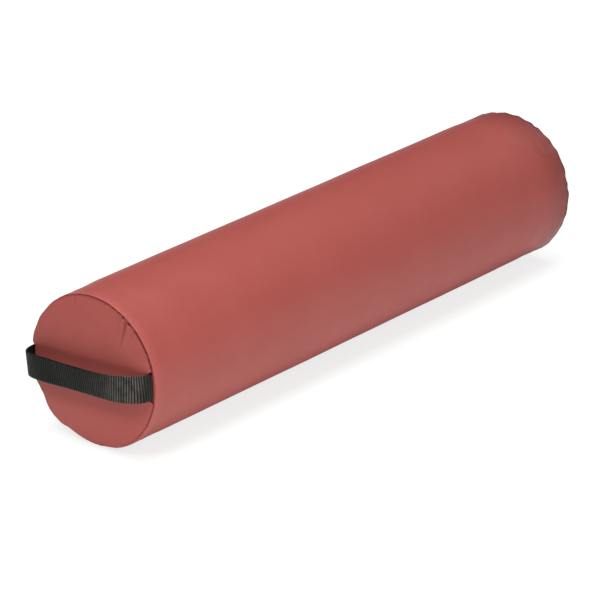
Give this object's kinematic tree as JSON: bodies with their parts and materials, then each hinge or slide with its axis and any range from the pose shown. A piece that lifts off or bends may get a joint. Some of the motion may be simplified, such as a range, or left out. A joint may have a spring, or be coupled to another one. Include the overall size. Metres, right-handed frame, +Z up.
{
  "type": "round bolster",
  "caption": "Round bolster: a firm foam cylinder in a sewn smooth cover with flat end panels, a webbing handle across one end and a zip along the back.",
  "frame": {"origin": "on the surface that the bolster rests on, at the middle of the flat strip where its cover meets that surface", "axes": "+X along the bolster away from the webbing handle, +Z up, +Y towards the zip"},
  "size_m": [0.6864, 0.1569, 0.1519],
  "materials": {
    "cover_vinyl": "satin, fine-grained upholstery vinyl",
    "core_foam": "matte, firm open-cell foam",
    "webbing": "matte, ribbed woven webbing",
    "thread": "matte, sewing thread",
    "zip_tape": "matte, woven zip tape",
    "zip_coil": "satin, nylon coil",
    "zip_metal": "satin, plated cast metal"
  },
  "bodies": {
    "root": {"foam_core": "core_foam", "side_panel": "cover_vinyl", "end_panel_near": "cover_vinyl", "end_panel_far": "cover_vinyl", "seam_thread_far": "thread", "seam_thread_near_upper": "thread", "seam_thread_near_lower": "thread", "side_seam_thread_near": "thread", "side_seam_thread_far": "thread", "handle_strap": "webbing", "zip_tape_upper": "zip_tape", "zip_tape_lower": "zip_tape", "zip_coil_upper": "zip_coil", "zip_coil_lower": "zip_coil", "zip_top_stop_upper": "zip_metal", "zip_top_stop_lower": "zip_metal", "zip_bottom_stop": "zip_metal", "zip_topstitch": "thread"},
    "slider": {"zip_slider": "zip_metal"},
    "pull": {"zip_pull": "zip_metal"}
  },
  "joints": [
    {"name": "zip_slide", "type": "slide", "parent": "root", "child": "slider", "axis": [1, 0, 0], "range_m": [0, 0.5148]},
    {"name": "pull_swing", "type": "hinge", "parent": "slider", "child": "pull", "pos_m": [-0.2574, 0.0788, 0.0757], "axis": [0, 0, 1], "range_deg": [0, 170]}
  ]
}
